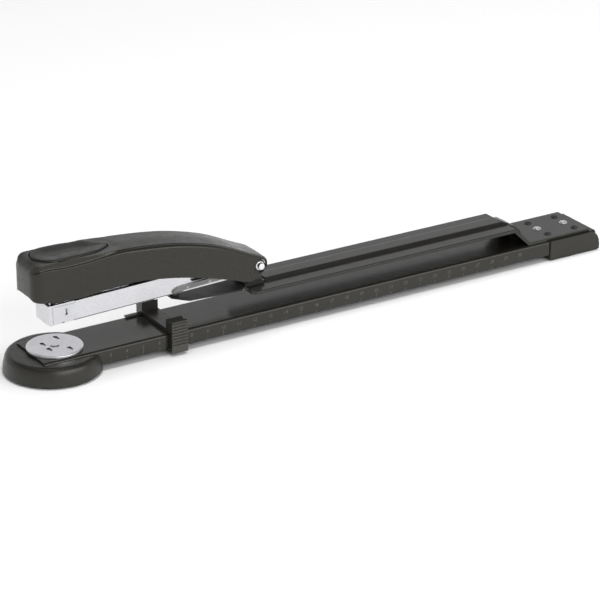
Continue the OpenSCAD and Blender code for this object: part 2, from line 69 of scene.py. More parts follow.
# ---------------------------------------------------------------- materials
class Graph:
    """A small helper round one material's node tree."""

    def __init__(self, name):
        self.mat = bpy.data.materials.new(name)
        self.mat.use_nodes = True
        self.tree = self.mat.node_tree
        self.shader = self.tree.nodes["Principled BSDF"]
        self.coords = self.node("ShaderNodeTexCoord").outputs["Object"]

    def node(self, kind, **values):
        n = self.tree.nodes.new(kind)
        for key, value in values.items():
            setattr(n, key, value)
        return n

    def link(self, a, b):
        self.tree.links.new(a, b)

    def noise(self, scale, detail=3.0, rough=0.55, stretch=None):
        n = self.node("ShaderNodeTexNoise")
        n.inputs["Scale"].default_value = scale
        n.inputs["Detail"].default_value = detail
        n.inputs["Roughness"].default_value = rough
        source = self.coords
        if stretch:
            m = self.node("ShaderNodeMapping")
            m.inputs["Scale"].default_value = stretch
            self.link(self.coords, m.inputs["Vector"])
            source = m.outputs["Vector"]
        self.link(source, n.inputs["Vector"])
        return n.outputs["Fac"]

    def across(self):
        """Distance from the middle plane, signed."""
        n = self.node("ShaderNodeSeparateXYZ")
        self.link(self.coords, n.inputs[0])
        return n.outputs[1]

    def spread(self, value, low, high, to_low, to_high):
        n = self.node("ShaderNodeMapRange")
        for key, v in zip(("From Min", "From Max", "To Min", "To Max"),
                          (low, high, to_low, to_high)):
            n.inputs[key].default_value = v
        self.link(value, n.inputs["Value"])
        return n.outputs["Result"]

    def mix(self, factor, a, b):
        n = self.node("ShaderNodeMix", data_type="RGBA")
        for socket, value in ((n.inputs[6], a), (n.inputs[7], b)):
            if isinstance(value, tuple):
                socket.default_value = (*value, 1.0)
            else:
                self.link(value, socket)
        self.link(factor, n.inputs[0])
        return n.outputs[2]

    def math(self, op, a, b):
        n = self.node("ShaderNodeMath", operation=op)
        for socket, value in zip(n.inputs, (a, b)):
            if isinstance(value, float):
                socket.default_value = value
            else:
                self.link(value, socket)
        return n.outputs[0]

    def edges(self, radius):
        """1 on sharp edges, 0 on flats."""
        bevel = self.node("ShaderNodeBevel", samples=4)
        bevel.inputs["Radius"].default_value = radius
        flat = self.node("ShaderNodeNewGeometry").outputs["Normal"]
        dot = self.node("ShaderNodeVectorMath", operation="DOT_PRODUCT")
        self.link(bevel.outputs["Normal"], dot.inputs[0])
        self.link(flat, dot.inputs[1])
        return self.spread(dot.outputs["Value"], 0.99, 0.82, 0.0, 1.0)

    def bump(self, height, strength, distance, before=None):
        n = self.node("ShaderNodeBump")
        n.inputs["Strength"].default_value = strength
        n.inputs["Distance"].default_value = distance
        self.link(height, n.inputs["Height"])
        if before:
            self.link(before, n.inputs["Normal"])
        return n.outputs["Normal"]

    def done(self, color, rough, normal, metal=0.0, **constants):
        self.shader.inputs["Metallic"].default_value = metal
        self.link(color, self.shader.inputs["Base Color"])
        self.link(rough, self.shader.inputs["Roughness"])
        self.link(normal, self.shader.inputs["Normal"])
        for key, value in constants.items():
            self.shader.inputs[key.replace("_", " ")].default_value = value
        return self.mat


WARM = (1.0, 0.985, 0.92, 1.0)            # tint of the blacks' reflections
CREST_HIGHLIGHT = (0.045, 0.044, 0.038)            # painted highlight on the crests of the stop's ridges


def painted(name, color, rough):
    """Stove enamel over steel: faint orange peel; sharp edges painted lighter, as paint
    rubbed thin there and as a painted edge highlight.
    """
    g = Graph(name)
    drift = g.noise(35, 4)
    base = g.mix(g.spread(drift, 0.3, 0.7, 0, 1), tuple(c * 0.86 for c in color),
                 tuple(c * 1.16 for c in color))
    # painted edge highlight: sharp edges mixed towards a lighter colour, with paint rubbed
    # thin there
    worn_edge_highlight = g.math("MULTIPLY", g.edges(0.00035), g.spread(g.noise(420, 5), 0.35, 0.7, 0.35, 1))
    tint = g.mix(g.math("MULTIPLY", worn_edge_highlight, 0.55), base, tuple(c * 2.5 + 0.03 for c in color))
    shine = g.spread(g.noise(160, 5), 0.3, 0.7, rough - 0.04, rough + 0.05)
    peel = g.bump(g.noise(1500, 2), 0.22, 0.00003)
    return g.done(tint, shine, g.bump(g.noise(90, 2), 0.05, 0.00005, peel),
                  Specular_IOR_Level=0.5, Specular_Tint=WARM)


def moulded(name, color, rough, grain=0.35, gloss=0.5, crest=None):
    """Injection moulded plastic with a fine spark-eroded grain. Sharp edges are painted
    lighter, as rubbed plastic and as a painted edge highlight;
    further than crest from the middle plane it is painted lighter, a painted highlight on the
    ridges' crests."""
    g = Graph(name)
    drift = g.noise(28, 3)
    base = g.mix(g.spread(drift, 0.3, 0.7, 0, 1), tuple(c * 0.9 for c in color),
                 tuple(c * 1.12 for c in color))
    # painted edge highlight: sharp edges mixed towards a lighter colour, with plastic rubbed
    # there
    rubbed_edge_highlight = g.math("MULTIPLY", g.edges(0.0004), 0.4)
    tint = g.mix(rubbed_edge_highlight, base, tuple(c * 2.2 + 0.015 for c in color))
    # painted highlight on the stop's ridge crests, beyond crest from the middle plane
    if crest:
        out = g.math("ABSOLUTE", g.across(), 0.0)
        tint = g.mix(g.spread(out, crest - 0.0001, crest + 0.0001, 0, 1), tint, CREST_HIGHLIGHT)
    shine = g.spread(g.noise(240, 4), 0.3, 0.7, rough - 0.06, rough + 0.07)
    fine = g.bump(g.noise(4200, 3, 0.7), grain, 0.00004)
    return g.done(tint, shine, g.bump(g.noise(1300, 2), grain * 0.6, 0.00005, fine),
                  Specular_IOR_Level=gloss, Specular_Tint=WARM)


def rubbery(name):
    """Dull black rubber."""
    g = Graph(name)
    base = g.mix(g.spread(g.noise(60, 4), 0.3, 0.7, 0, 1), (0.012, 0.012, 0.012),
                 (0.028, 0.028, 0.027))
    shine = g.spread(g.noise(300, 3), 0.3, 0.7, 0.7, 0.88)
    return g.done(base, shine, g.bump(g.noise(2600, 3), 0.5, 0.00006))


def plated(name, color, rough, lines=(1, 1, 1), depth=0.12, stain=0.12):
    """Plated or bright metal with a drawn grain along one direction and faint stains."""
    g = Graph(name)
    drift = g.noise(55, 5)
    base = g.mix(g.spread(drift, 0.35, 0.7, 0, 1), color,
                 tuple(c * (1 - stain) for c in color))
    rub = g.noise(900, 4, 0.6, lines)
    shine = g.math("ADD", g.spread(rub, 0.3, 0.7, rough - 0.05, rough + 0.06),
                   g.spread(g.noise(130, 4), 0.4, 0.75, 0.0, 0.07))
    dents = g.bump(g.noise(220, 2), 0.06, 0.00006)
    return g.done(base, shine, g.bump(rub, depth, 0.00002, dents), metal=1.0)


def ink(name, color):
    """Thinly printed ink, uneven in strength."""
    g = Graph(name)
    base = g.mix(g.spread(g.noise(700, 4), 0.35, 0.62, 0, 1), color,
                 tuple(c * 0.45 for c in color))
    shine = g.spread(g.noise(900, 2), 0.3, 0.7, 0.5, 0.65)
    return g.done(base, shine, g.bump(g.noise(3000, 2), 0.2, 0.00001))


DRAWN_X = (0.04, 1, 1)                    # grain drawn out along X
RIDGE_CREST = 0.02015                     # just below the crests of the stop's ridges
BASE_PAINT = painted("base_enamel", (0.0125, 0.012, 0.0098), 0.21)
ARM_PAINT = painted("arm_enamel", (0.0125, 0.012, 0.0105), 0.2)
LEAF_PAINT = painted("leaf_blacking", (0.014, 0.014, 0.014), 0.42)
HANDLE = moulded("handle_plastic", (0.0115, 0.011, 0.0088), 0.27, 0.35, 0.46)
THUMB = moulded("thumb_plastic", (0.0105, 0.0102, 0.0085), 0.34, 0.12, 0.36)
FOOT = moulded("foot_plastic", (0.012, 0.0115, 0.009), 0.32, 0.4)
STOP = moulded("stop_plastic", (0.012, 0.0115, 0.009), 0.3, crest=RIDGE_CREST)
BLACK = moulded("follower_plastic", (0.012, 0.0115, 0.009), 0.3)
RUBBER = rubbery("pad_rubber")
NICKEL = plated("nickel_sheet", (0.66, 0.66, 0.68), 0.26, DRAWN_X, 0.08, 0.08)
DISC = plated("nickel_disc", (0.93, 0.93, 0.955), 0.3, depth=0.05, stain=0.06)
ZINC = plated("zinc_sheet", (0.36, 0.355, 0.35), 0.42, DRAWN_X, 0.2, 0.2)
CARRIER = plated("carrier_zinc", (0.22, 0.216, 0.208), 0.42, DRAWN_X, 0.2, 0.2)
FRAME = plated("frame_zinc", (0.13, 0.128, 0.12), 0.48, DRAWN_X, 0.2, 0.2)
STEEL = plated("bright_steel", (0.66, 0.66, 0.68), 0.28, DRAWN_X)
WIRE = plated("spring_wire", (0.5, 0.5, 0.52), 0.3)
STAPLES = plated("staple_wire", (0.74, 0.74, 0.77), 0.3, (60, 0.2, 0.2), 0.8)
RIVET = plated("rivet_nickel", (0.84, 0.84, 0.86), 0.22)
INSIDE = plated("unlit_inside", (0.10, 0.10, 0.10), 0.5)
# painted shade: dark metal for the anvil's pockets and the magazine's lower joints
PAINTED_SHADOW = plated("pocket_shadow", (0.035, 0.034, 0.032), 0.5)
SCREW = plated("black_screw", (0.07, 0.07, 0.07), 0.4)
MARKS = ink("scale_ink", (0.12, 0.115, 0.10))


# ---------------------------------------------------------------- mesh helpers
def smooth(mesh, angle):
    """Smooth shading, sharp only where faces meet at more than the angle."""
    for p in mesh.polygons:
        p.use_smooth = True
    mesh.set_sharp_from_angle(angle=math.radians(angle))


def piece(name, mesh, mat, body, stands_for=()):
    """Puts a finished mesh in the scene, riding on a body, or free if body is None."""
    obj = bpy.data.objects.new(name, mesh)
    bpy.context.scene.collection.objects.link(obj)
    mesh.materials.clear()
    mesh.materials.append(mat)
    if body:
        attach(obj, body)
    if stands_for:
        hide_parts(*stands_for)
    return obj


def mesh_of(name, verts, faces):
    """A mesh with all its faces turned outwards."""
    mesh = bpy.data.meshes.new(name)
    mesh.from_pydata([tuple(v) for v in verts], [], faces)
    bm = bmesh.new()
    bm.from_mesh(mesh)
    bmesh.ops.recalc_face_normals(bm, faces=bm.faces)
    bm.to_mesh(mesh)
    bm.free()
    return mesh


# folded edges along X: lowest and highest Z, nearest and furthest Y, rounding (mm)
BENDS = {
    "base_channel": [(12, 13, 15, 30, 1.3)],
    "arm_plate": [(26, 27, 3, 6, 1.2), (24.2, 24.6, 15, 17, 0.7), (24.2, 24.6, 5.5, 7, 0.6)],
}


def fold_edges(bm, node):
    """Rounds the long folded edges with the radius of bent sheet."""
    for low, high, near, far, width in BENDS.get(node, []):
        found = []
        for e in bm.edges:
            a, b = (v.co / MM for v in e.verts)
            along = abs(a.x - b.x) > 40 and abs(a.z - b.z) < 0.1
            in_place = low < a.z < high and near < abs(a.y) < far and a.y * b.y > 0
            if along and in_place and e.calc_face_angle(0) > 0.5:
                found.append(e)
        bmesh.ops.bevel(bm, geom=found, offset=width * MM, offset_type="OFFSET",
                        segments=6, profile=0.5, affect="EDGES", clamp_overlap=True)


SHARP = math.radians(30)                  # edges sharper than this are rounded
FLAT = math.radians(0.4)                  # faces flatter than this are merged


def refined(node, width, mat, body):
    """The node's own shape with rounded edges, in place of the plain CAD solid."""
    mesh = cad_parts[node].data.copy()
    bm = bmesh.new()
    bm.from_mesh(mesh)
    bmesh.ops.remove_doubles(bm, verts=bm.verts, dist=2e-6)
    bmesh.ops.dissolve_limit(bm, angle_limit=FLAT, verts=bm.verts, edges=bm.edges)
    fold_edges(bm, node)
    sharp = [e for e in bm.edges if len(e.link_faces) == 2
             and e.calc_face_angle(0) > SHARP]
    bmesh.ops.bevel(bm, geom=sharp, offset=width * MM, offset_type="OFFSET",
                    segments=2, profile=0.5, affect="EDGES", clamp_overlap=True)
    bm.to_mesh(mesh)
    bm.free()
    smooth(mesh, 40)
    obj = piece(node + "_edged", mesh, mat, body, (node,))
    even = obj.modifiers.new("even_normals", "WEIGHTED_NORMAL")
    even.keep_sharp, even.weight = True, 80
    return obj


def cut(obj, tool_mesh):
    """Takes a tool's volume out of a piece and keeps the result as its mesh."""
    tool = bpy.data.objects.new("tool", tool_mesh)
    bpy.context.scene.collection.objects.link(tool)
    mod = obj.modifiers.new("cut", "BOOLEAN")
    mod.object, mod.operation, mod.solver = tool, "DIFFERENCE", "EXACT"
    bpy.context.view_layer.update()
    done = bpy.data.meshes.new_from_object(
        obj.evaluated_get(bpy.context.evaluated_depsgraph_get()))
    obj.modifiers.clear()
    obj.data = done
    bpy.data.objects.remove(tool)
    return obj


def rod_mesh(name, centre, radius, half, sides=64):
    """A closed cylinder along Y."""
    verts, faces = [], []
    for s in (-1, 1):
        for k in range(sides):
            a = math.tau * k / sides
            verts.append(centre + Vector((radius * math.cos(a), s * half,
                                          radius * math.sin(a))))
    for k in range(sides):
        n = (k + 1) % sides
        faces.append((k, n, sides + n, sides + k))
    faces += [tuple(range(sides)), tuple(range(sides, 2 * sides))]
    return mesh_of(name, verts, faces)


def tube(name, path, radius, sides=10):
    """A round wire along a list of points, closed at both ends."""
    verts, faces = [], []
    up = Vector((0.31, 0.83, 0.47)).normalized()
    for i, p in enumerate(path):
        d = (path[min(i + 1, len(path) - 1)] - path[max(i - 1, 0)]).normalized()
        side = (up - d * up.dot(d)).normalized()
        up = side
        other = d.cross(side)
        verts += [p + (side * math.cos(math.tau * k / sides)
                       + other * math.sin(math.tau * k / sides)) * radius
                  for k in range(sides)]
    for i in range(len(path) - 1):
        for k in range(sides):
            n = (k + 1) % sides
            a = i * sides
            faces.append((a + k, a + n, a + sides + n, a + sides + k))
    last = (len(path) - 1) * sides
    faces += [tuple(range(sides)), tuple(range(last, last + sides))]
    mesh = mesh_of(name, verts, faces)
    smooth(mesh, 50)
    return mesh


# ---------------------------------------------------------------- handle
LENGTH = 139.9                            # rear end of the handle (mm)
FRONT_X = -2.4                            # front end
HALF = 13.0                               # half width
LIP = 1.7                                 # wall thickness
NOSE = 6.0                                # corner radius of the nose, seen from above
# station, lower edge, upper edge of the sides, rise from there to the top (mm)
SIDE = [(-2.4, 46.4, 60.4, 1.2), (-1.6, 45.8, 61.6, 2.2), (0, 45.4, 62.5, 2.8),
        (3, 45, 63.1, 3.2), (8, 44.5, 63.2, 3.4), (16, 43.9, 62.7, 3.95),
        (25, 43.5, 62.7, 3.8), (31, 43.9, 63, 3.25), (37, 44.4, 63.5, 2.7),
        (43, 44.9, 64, 1.6), (49, 45.2, 64.4, 0.7), (55, 45.3, 64.4, 0.35),
        (61, 45.2, 64, 0.3), (73, 43.8, 62.8, 0.3), (85, 41.8, 61.1, 0.3),
        (97.3, 39, 58.4, 0.3), (109.8, 35.6, 54.7, 0.3), (119, 32.7, 51, 0.3),
        (128, 29.9, 46.7, 0.3), (133, 30.8, 44.4, 0.3), (136.5, 33.3, 42.9, 0.3),
        (139.9, 37.6, 41.3, 0.3)]
BEADS = (0.95, 2.1)                       # rounding of the upper edges, front and rear
SLOPE = 0.85                              # width of the slope inside that rounding
# circles that the thumb pad's outline wraps: centre, radius (mm)
PAD_CIRCLES = [(13.6, 10.5), (24.0, 10.3), (34.0, 9.1), (43.0, 4.1)]
PAD_PROUD = 0.5
GAP = 0.9                                 # groove round the pad
PIN_HOLE = (3.9 * MM, 20 * MM)            # radius and half length
SPRING_ROOM = (4.35 * MM, 6.4 * MM)       # the same of the return spring's relief


def lerp(a, b, t):
    return a + (b - a) * t


def ramp(x, low, high):
    """0 below low, 1 above high, eased between."""
    t = max(0.0, min(1.0, (x - low) / (high - low)))
    return t * t * (3 - 2 * t)


def curve_at(x, column):
    """Smooth curve through one column of the side outline."""
    i = max([k for k in range(len(SIDE) - 1) if SIDE[k][0] <= x + 1e-9] or [0])
    around = [SIDE[max(0, min(len(SIDE) - 1, k))] for k in range(i - 1, i + 3)]
    (x0, z0), (x1, z1), (x2, z2), (x3, z3) = [(p[0], p[column]) for p in around]
    h = x2 - x1
    t = (x - x1) / h
    m1 = (z2 - z0) / max(x2 - x0, 1e-6) * h
    m2 = (z3 - z1) / max(x3 - x1, 1e-6) * h
    return ((2 * t ** 3 - 3 * t ** 2 + 1) * z1 + (t ** 3 - 2 * t ** 2 + t) * m1
            + (3 * t ** 2 - 2 * t ** 3) * z2 + (t ** 3 - t ** 2) * m2)


def half_at(x):
    """Half width of the handle at a station."""
    if x >= FRONT_X + NOSE:
        return HALF
    return HALF - NOSE + math.sqrt(max(0.0, NOSE ** 2 - (FRONT_X + NOSE - x) ** 2))


def pad_distance(x, y):
    """Signed distance to the thumb pad's outline, negative inside."""
    best = 1e9
    for (x1, r1), (x2, r2) in zip(PAD_CIRCLES, PAD_CIRCLES[1:]):
        h, px, py = x2 - x1, abs(y), x - x1
        b = (r1 - r2) / h
        a = math.sqrt(1 - b * b)
        k = -b * px + a * py
        if k < 0:
            d = math.hypot(px, py) - r1
        elif k > a * h:
            d = math.hypot(px, py - h) - r2
        else:
            d = px * a + py * b - r1
        best = min(best, d)
    return best


def bead_at(x):
    """Radius of the rounding along the handle's upper edges."""
    return lerp(*BEADS, ramp(x, 38, 62))


def rim(x, y):
    """Slightly raised rim round the thumb pad."""
    d = pad_distance(x, y)
    return 0.1 * math.exp(-((d - 0.55) / 0.45) ** 2)


def top_z(x, y):
    """Outer surface of the handle's top."""
    half, high, rise = half_at(x), curve_at(x, 2), curve_at(x, 3)
    inward, bead = half - abs(y), bead_at(x)
    if inward <= bead:
        t = 1 - max(0.0, inward) / bead
        return high - bead * (1 - math.sqrt(max(0.0, 1 - t * t)))
    seat = 0.3 * (1 - ramp(pad_distance(x, y), 1.5, 7))
    z = high + (rise - seat) * ramp(inward, bead, bead + SLOPE)
    return z + 0.3 * ramp(inward, bead, half) + rim(x, y)


def spread_across(half):
    """Offsets across the top, closer together near the edges."""
    near = [0, 0.03, 0.08, 0.16, 0.26, 0.38, 0.52, 0.67, 0.81]
    near += [0.95 + 0.115 * k for k in range(18)]
    near = [d for d in near if d < half * 0.42]
    count = 34 + 26 - len(near)
    last = near[-1]
    mid = [lerp(half - last, -(half - last), (k + 1) / (2 * count)) for k in
           range(2 * count - 1)]
    left = [-(half - d) for d in near]
    return left + [-v for v in mid] + [-v for v in reversed(left)]


def outer_ring(x, up=7):
    """Section of the handle's outside, from one lower edge over the top to the other."""
    half, low = half_at(x), curve_at(x, 1)
    wall = curve_at(x, 2) - bead_at(x)
    pts = [(-half + 0.45, low), (-half + 0.12, low + 0.12), (-half, low + 0.45)]
    pts += [(-half, lerp(low + 0.45, wall, (k + 1) / up)) for k in range(up - 1)]
    pts += [(y, top_z(x, y)) for y in spread_across(half)]
    pts += [(half, lerp(wall, low + 0.45, (k + 1) / up)) for k in range(up - 1)]
    pts += [(half, low + 0.45), (half - 0.12, low + 0.12), (half - 0.45, low)]
    return [(x, y, z) for y, z in pts]


def inner_ring(x, count):
    """The same section of the inside, with count points."""
    half, low = half_at(x) - LIP, curve_at(x, 1)
    high = curve_at(x, 2) + 0.6 * curve_at(x, 3) - 1.6
    side = 8
    pts = [(-half, lerp(low, high - 1, k / side)) for k in range(side)]
    middle = count - 2 * side
    for k in range(middle):
        t = 2 * k / (middle - 1) - 1
        pts.append((half * t, high - t ** 8))
    pts += [(half, lerp(high - 1, low, (k + 1) / side)) for k in range(side)]
    return [(x, y, z) for y, z in pts]


def handle_stations():
    """Stations along the handle, closest at the nose."""
    xs = [FRONT_X + d for d in (0, 0.12, 0.35, 0.7, 1.1, 1.6, 2.2, 3.0, 3.8, 4.6, 5.4)]
    xs += [3.5 + 0.5 * k for k in range(100)]
    xs += [53.5 + 1.5 * k for k in range(57)]
    return [x for x in xs if x < LENGTH - 0.8] + [LENGTH - 0.5, LENGTH - 0.15, LENGTH]


def nose_rounding(x):
    """How far the front and rear faces' edges are taken back."""
    front = max(0.0, 1 - (x - FRONT_X) / 1.1)
    back = max(0.0, 1 - (LENGTH - x) / 0.5)
    return 0.9 * (1 - math.sqrt(1 - front ** 2)) + 0.4 * (1 - math.sqrt(1 - back ** 2))


def handle_shell():
    """The cover as one closed shell, open below and behind."""
    xs = handle_stations()
    outer = []
    for x in xs:
        r, half = nose_rounding(x), half_at(x)
        ring = outer_ring(x)
        middle = (curve_at(x, 1) + curve_at(x, 2)) / 2
        span = curve_at(x, 2) - middle
        outer.append([(px, y * (half - r) / half, middle + (z - middle) * (span - r) / span)
                      for px, y, z in ring])
    n = len(outer[0])
    inner = [inner_ring(lerp(FRONT_X + LIP, LENGTH, (x - FRONT_X) / (LENGTH - FRONT_X)), n)
             for x in xs]
    verts = [at(*p) for ring in outer + inner for p in ring]
    m, faces = len(xs), []
    for i in range(m - 1):
        for k in range(n - 1):
            a, b = i * n + k, (m + i) * n + k
            faces.append((a, a + 1, a + n + 1, a + n))
            faces.append((b, b + n, b + n + 1, b + 1))
        for k in (0, n - 1):
            faces.append((i * n + k, i * n + n + k, (m + i + 1) * n + k, (m + i) * n + k))
    for k in range(n - 1):
        a, b = (m - 1) * n + k, (2 * m - 1) * n + k
        faces.append((a, a + 1, b + 1, b))
    faces.append((0, n - 1, m * n + n - 1, m * n))
    faces += [tuple(range(n)), tuple(range(m * n, m * n + n))]
    return mesh_of("handle_cover_shell", verts, faces)


def pad_width(x, grow=0.0):
    """Half width of the thumb pad at a station."""
    low, high = 0.0, 13.0
    if pad_distance(x, 0) >= grow:
        return 0.0
    for _ in range(30):
        mid = (low + high) / 2
        if pad_distance(x, mid) < grow:
            low = mid
        else:
            high = mid
    return low


def pad_outline(grow, count=90):
    """Outline of the thumb pad, moved outwards by grow."""
    start = PAD_CIRCLES[0][0] - PAD_CIRCLES[0][1] - grow
    end = PAD_CIRCLES[-1][0] + PAD_CIRCLES[-1][1] + grow
    xs = [lerp(start, end, (1 - math.cos(math.pi * k / count)) / 2)
          for k in range(1, count)]
    side = [(x, pad_width(x, grow)) for x in xs]
    return ([(start, 0.0)] + side + [(end, 0.0)] + [(x, -w) for x, w in reversed(side)])


def recess_tool():
    """Volume of the pad's seat, taken out of the handle's top."""
    plan = pad_outline(GAP)
    n = len(plan)
    verts = [at(x, y, curve_at(x, 2) + curve_at(x, 3) - 1.6) for x, y in plan]
    verts += [at(x, y, 75) for x, y in plan]
    faces = [(k, (k + 1) % n, n + (k + 1) % n, n + k) for k in range(n)]
    faces += [tuple(range(n)), tuple(range(n, 2 * n))]
    mesh = mesh_of("tool", verts, faces)
    bm = bmesh.new()
    bm.from_mesh(mesh)
    bmesh.ops.triangulate(bm, faces=bm.faces)
    bm.to_mesh(mesh)
    bm.free()
    return mesh


def handle_cover():
    obj = piece("handle_cover_shell", handle_shell(), HANDLE, "handle", ("handle_cover",))
    cut(obj, rod_mesh("tool", PIN, *PIN_HOLE))
    cut(obj, rod_mesh("tool", PIN, *SPRING_ROOM))
    cut(obj, recess_tool())
    smooth(obj.data, 38)
    return obj


def thumb_pad():
    """The dished pad, a closed slab that follows the handle's top."""
    rows, cols = 70, 40
    start = PAD_CIRCLES[0][0] - PAD_CIRCLES[0][1] + 0.02
    end = PAD_CIRCLES[-1][0] + PAD_CIRCLES[-1][1] - 0.02
    top = []
    for i in range(rows + 1):
        x = lerp(start, end, (1 - math.cos(math.pi * i / rows)) / 2)
        w = max(pad_width(x), 0.05)
        for k in range(cols + 1):
            y = w * math.sin(math.pi / 2 * (2 * k / cols - 1))
            inside = max(0.0, -pad_distance(x, y))
            level = curve_at(x, 2) + curve_at(x, 3)
            edge = 0.3 * (1 - min(1.0, inside / 0.6)) ** 2
            top.append((x, y, level + PAD_PROUD - 0.7 * ramp(inside, 0.6, 9) - edge))
    n, total = cols + 1, (rows + 1) * (cols + 1)
    verts = [at(*p) for p in top] + [at(x, y, z - 1.3) for x, y, z in top]
    faces = []
    for i in range(rows):
        for k in range(cols):
            a = i * n + k
            faces.append((a, a + 1, a + n + 1, a + n))
            faces.append((total + a, total + a + n, total + a + n + 1, total + a + 1))
    rim_ids = [k for k in range(n)] + [i * n + cols for i in range(1, rows + 1)]
    rim_ids += [rows * n + k for k in range(cols - 1, -1, -1)]
    rim_ids += [i * n for i in range(rows - 1, 0, -1)]
    for a, b in zip(rim_ids, rim_ids[1:] + rim_ids[:1]):
        faces.append((a, b, total + b, total + a))
    mesh = mesh_of("thumb_pad_dished", verts, faces)
    smooth(mesh, 60)
    return piece("thumb_pad_dished", mesh, THUMB, "handle", ("thumb_pad",))


# ---------------------------------------------------------------- cross pin
# radius and distance from the tip along one end of the pin (mm)
PIN_TURNED = [(0, 0), (1.35, 0), (1.75, 0.12), (1.95, 0.42), (1.95, 2.2), (2.45, 2.35)]


def hinge_pin():
    """The cross pin with its turned-down, rounded ends."""
    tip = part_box("hinge_pin")[1].y
    end = [(r * MM, tip - d * MM) for r, d in PIN_TURNED]
    rings = end + [(r, -y) for r, y in reversed(end)]
    sides, verts, faces = 48, [], []
    for r, y in rings[1:-1]:
        for k in range(sides):
            a = math.tau * k / sides
            verts.append(PIN + Vector((r * math.cos(a), y, r * math.sin(a))))
    for i in range(len(rings) - 3):
        for k in range(sides):
            n = (k + 1) % sides
            faces.append((i * sides + k, i * sides + n, (i + 1) * sides + n,
                          (i + 1) * sides + k))
    last = (len(rings) - 3) * sides
    faces += [tuple(range(sides)), tuple(range(last, last + sides))]
    mesh = mesh_of("hinge_pin_turned", verts, faces)
    smooth(mesh, 50)
    piece("hinge_pin_turned", mesh, RIVET, "base", ("hinge_pin",))


# ---------------------------------------------------------------- springs
def coil_points(centre_at, radius, turns, steps=20):
    """Points of a helix; centre_at(t) gives the axis point for t from 0 to 1."""
    pts = []
    for i in range(turns * steps + 1):
        t = i / (turns * steps)
        c, side, up = centre_at(t)
        a = math.tau * i / steps
        pts.append(c + side * (radius * math.cos(a)) + up * (radius * math.sin(a)))
    return pts


def follower_spring():
    """The coil behind the follower."""
    low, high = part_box("follower_spring")
    start, end = (low.x - PIN.x) / MM + 0.3, (high.x - PIN.x) / MM - 0.3
    side = Vector((0, 1, 0))
    up = Vector((-math.sin(TILT), 0, math.cos(TILT)))
    path = coil_points(lambda t: (along_mag(lerp(start, end, t), 0, 2.9), side, up),
                       1.7 * MM, 18)
    obj = piece("follower_spring_coil", tube("follower_spring_coil", path, 0.3 * MM, 8),
                WIRE, None, ("follower_spring",))
    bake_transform(obj)
    return obj


def return_spring():
    """The coil round the cross pin, its ends kept inside the cover's relief."""
    side, up = Vector((1, 0, 0)), Vector((0, 0, 1))
    path = coil_points(lambda t: (PIN + Vector((0, lerp(-4.9, 4.9, t) * MM, 0)), side, up),
                       3.55 * MM, 7, 24)
    first, last = path[0], path[-1]
    tail = [(-1.0, -0.2, -2.8), (-0.2, 0, -1.3)]
    path = [first + Vector(d) * MM for d in tail] + path + [last + Vector((0, 0, 1.1)) * MM]
    return piece("return_spring_coil", tube("return_spring_coil", path, 0.55 * MM, 10),
                 WIRE, "magazine", ("return_spring",))


# station along the leaf and its half width there (mm)
LEAF = [(84.5, 3.5), (92, 10.8), (124.6, 10.8), (129.3, 6.9), (141.4, 6.9)]
LEAF_THICK = 0.9
LEAF_FOLD = 126.5                         # the leaf rises from here to its front end


def leaf_half(x):
    """Half width of the leaf at a station."""
    for (x0, w0), (x1, w1) in zip(LEAF, LEAF[1:]):
        if x <= x1:
            return lerp(w0, w1, (x - x0) / (x1 - x0))
    return LEAF[-1][1]


def lift_spring():
    """The leaf, cut finely along its length."""
    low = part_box("lift_spring")[0].z / MM
    fine = {round(LEAF[0][0] + 0.98 * k, 2) for k in range(58)}
    xs = sorted({x for x, _ in LEAF} | fine)
    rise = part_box("lift_spring")[1].z / MM - low - LEAF_THICK
    verts, faces, edge, t = [], [], 0.16, LEAF_THICK
    for x in xs:
        z = low + rise * max(0.0, (LEAF_FOLD - x) / (LEAF_FOLD - LEAF[0][0]))
        h = leaf_half(x)
        for y, dz in ((-h, edge), (-h + edge, 0), (h - edge, 0), (h, edge),
                      (h, t - edge), (h - edge, t), (-h + edge, t), (-h, t - edge)):
            verts.append(at(x, y, z + dz))
    for i in range(len(xs) - 1):
        for k in range(8):
            n = (k + 1) % 8
            faces.append((i * 8 + k, i * 8 + n, i * 8 + 8 + n, i * 8 + 8 + k))
    last = (len(xs) - 1) * 8
    faces += [tuple(range(8)), tuple(range(last, last + 8))]
    mesh = mesh_of("lift_spring_leaf", verts, faces)
    smooth(mesh, 30)
    obj = piece("lift_spring_leaf", mesh, LEAF_PAINT, None, ("lift_spring",))
    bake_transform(obj)
    return obj


# ---------------------------------------------------------------- scale on the base
STAPLE_LINE = 9.3                         # zero of the scale (mm)
CENTIMETRES = range(3, 31)
# faces of a box: four points of one side, then the four of the other
BOX_FACES = ((0, 1, 2, 3), (4, 5, 6, 7), (0, 1, 5, 4), (1, 2, 6, 5), (2, 3, 7, 6),
             (3, 0, 4, 7))


def mark_box(verts, faces, x, z0, z1, width, y0, y1):
    base = len(verts)
    for yy in (y0, y1):
        for xx, zz in ((x - width, z0), (x + width, z0), (x + width, z1), (x - width, z1)):
            verts.append(at(xx, yy, zz))
    for f in BOX_FACES:
        faces.append(tuple(base + k for k in f))


def darken(obj, inside, mat):
    """Gives the faces whose centres lie inside a region a second material, a darker one for
    painted shade.
    """
    obj.data.materials.append(mat)
    for p in obj.data.polygons:
        if inside(p.center, p.normal):
            p.material_index = 1


def anvil_pockets(obj):
    """Paints shade on the pockets' steep walls with a dark metal."""
    centre = (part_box("anvil_plate")[0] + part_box("anvil_plate")[1]) / 2
    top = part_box("anvil_plate")[1].z

    def inside(c, n):
        out = math.hypot(c.x - centre.x, c.y - centre.y)
        sunk = top - 0.0013 < c.z < top - 0.00008
        return 0.004 < out < 0.0135 and sunk and abs(n.z) < 0.8
    darken(obj, inside, PAINTED_SHADOW)


